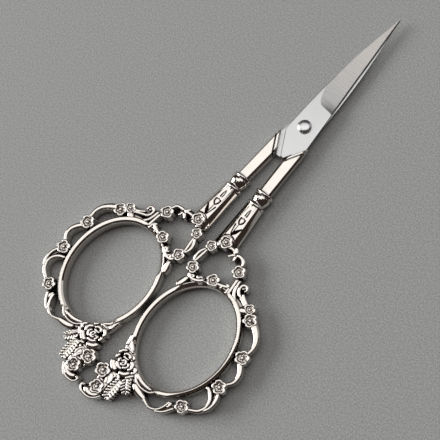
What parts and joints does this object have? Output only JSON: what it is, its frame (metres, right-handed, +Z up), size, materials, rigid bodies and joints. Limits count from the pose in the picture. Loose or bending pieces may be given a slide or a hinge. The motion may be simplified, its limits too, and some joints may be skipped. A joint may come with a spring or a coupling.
{
  "type": "embroidery scissors",
  "caption": "Small embroidery scissors: pointed steel blades on a domed rivet, with plated cast handles of blossom wreaths, oval finger rings and scalloped edges.",
  "frame": {"origin": "on the pivot axis, in the plane that the closed scissors rest on", "axes": "+Y from the finger rings to the blade tips, +Z up along the pivot axis, +X to the side of the half that carries the upper blade"},
  "size_m": [0.0612, 0.1284, 0.0043],
  "materials": {
    "blade_steel": "satin plate with a cross-brushed ground face",
    "plated_casting": "bright, slightly warm nickel plate",
    "rivet_steel": "polished dome"
  },
  "bodies": {
    "right_half": {"upper_blade": "blade_steel", "right_handle": "plated_casting", "pivot_rivet": "rivet_steel"},
    "left_half": {"lower_blade": "blade_steel", "left_handle": "plated_casting"}
  },
  "joints": [
    {"name": "pivot", "type": "hinge", "parent": "right_half", "child": "left_half", "pos_m": [0, 0, 0.00215], "axis": [0, 0, -1], "range_deg": [0, 95]}
  ]
}
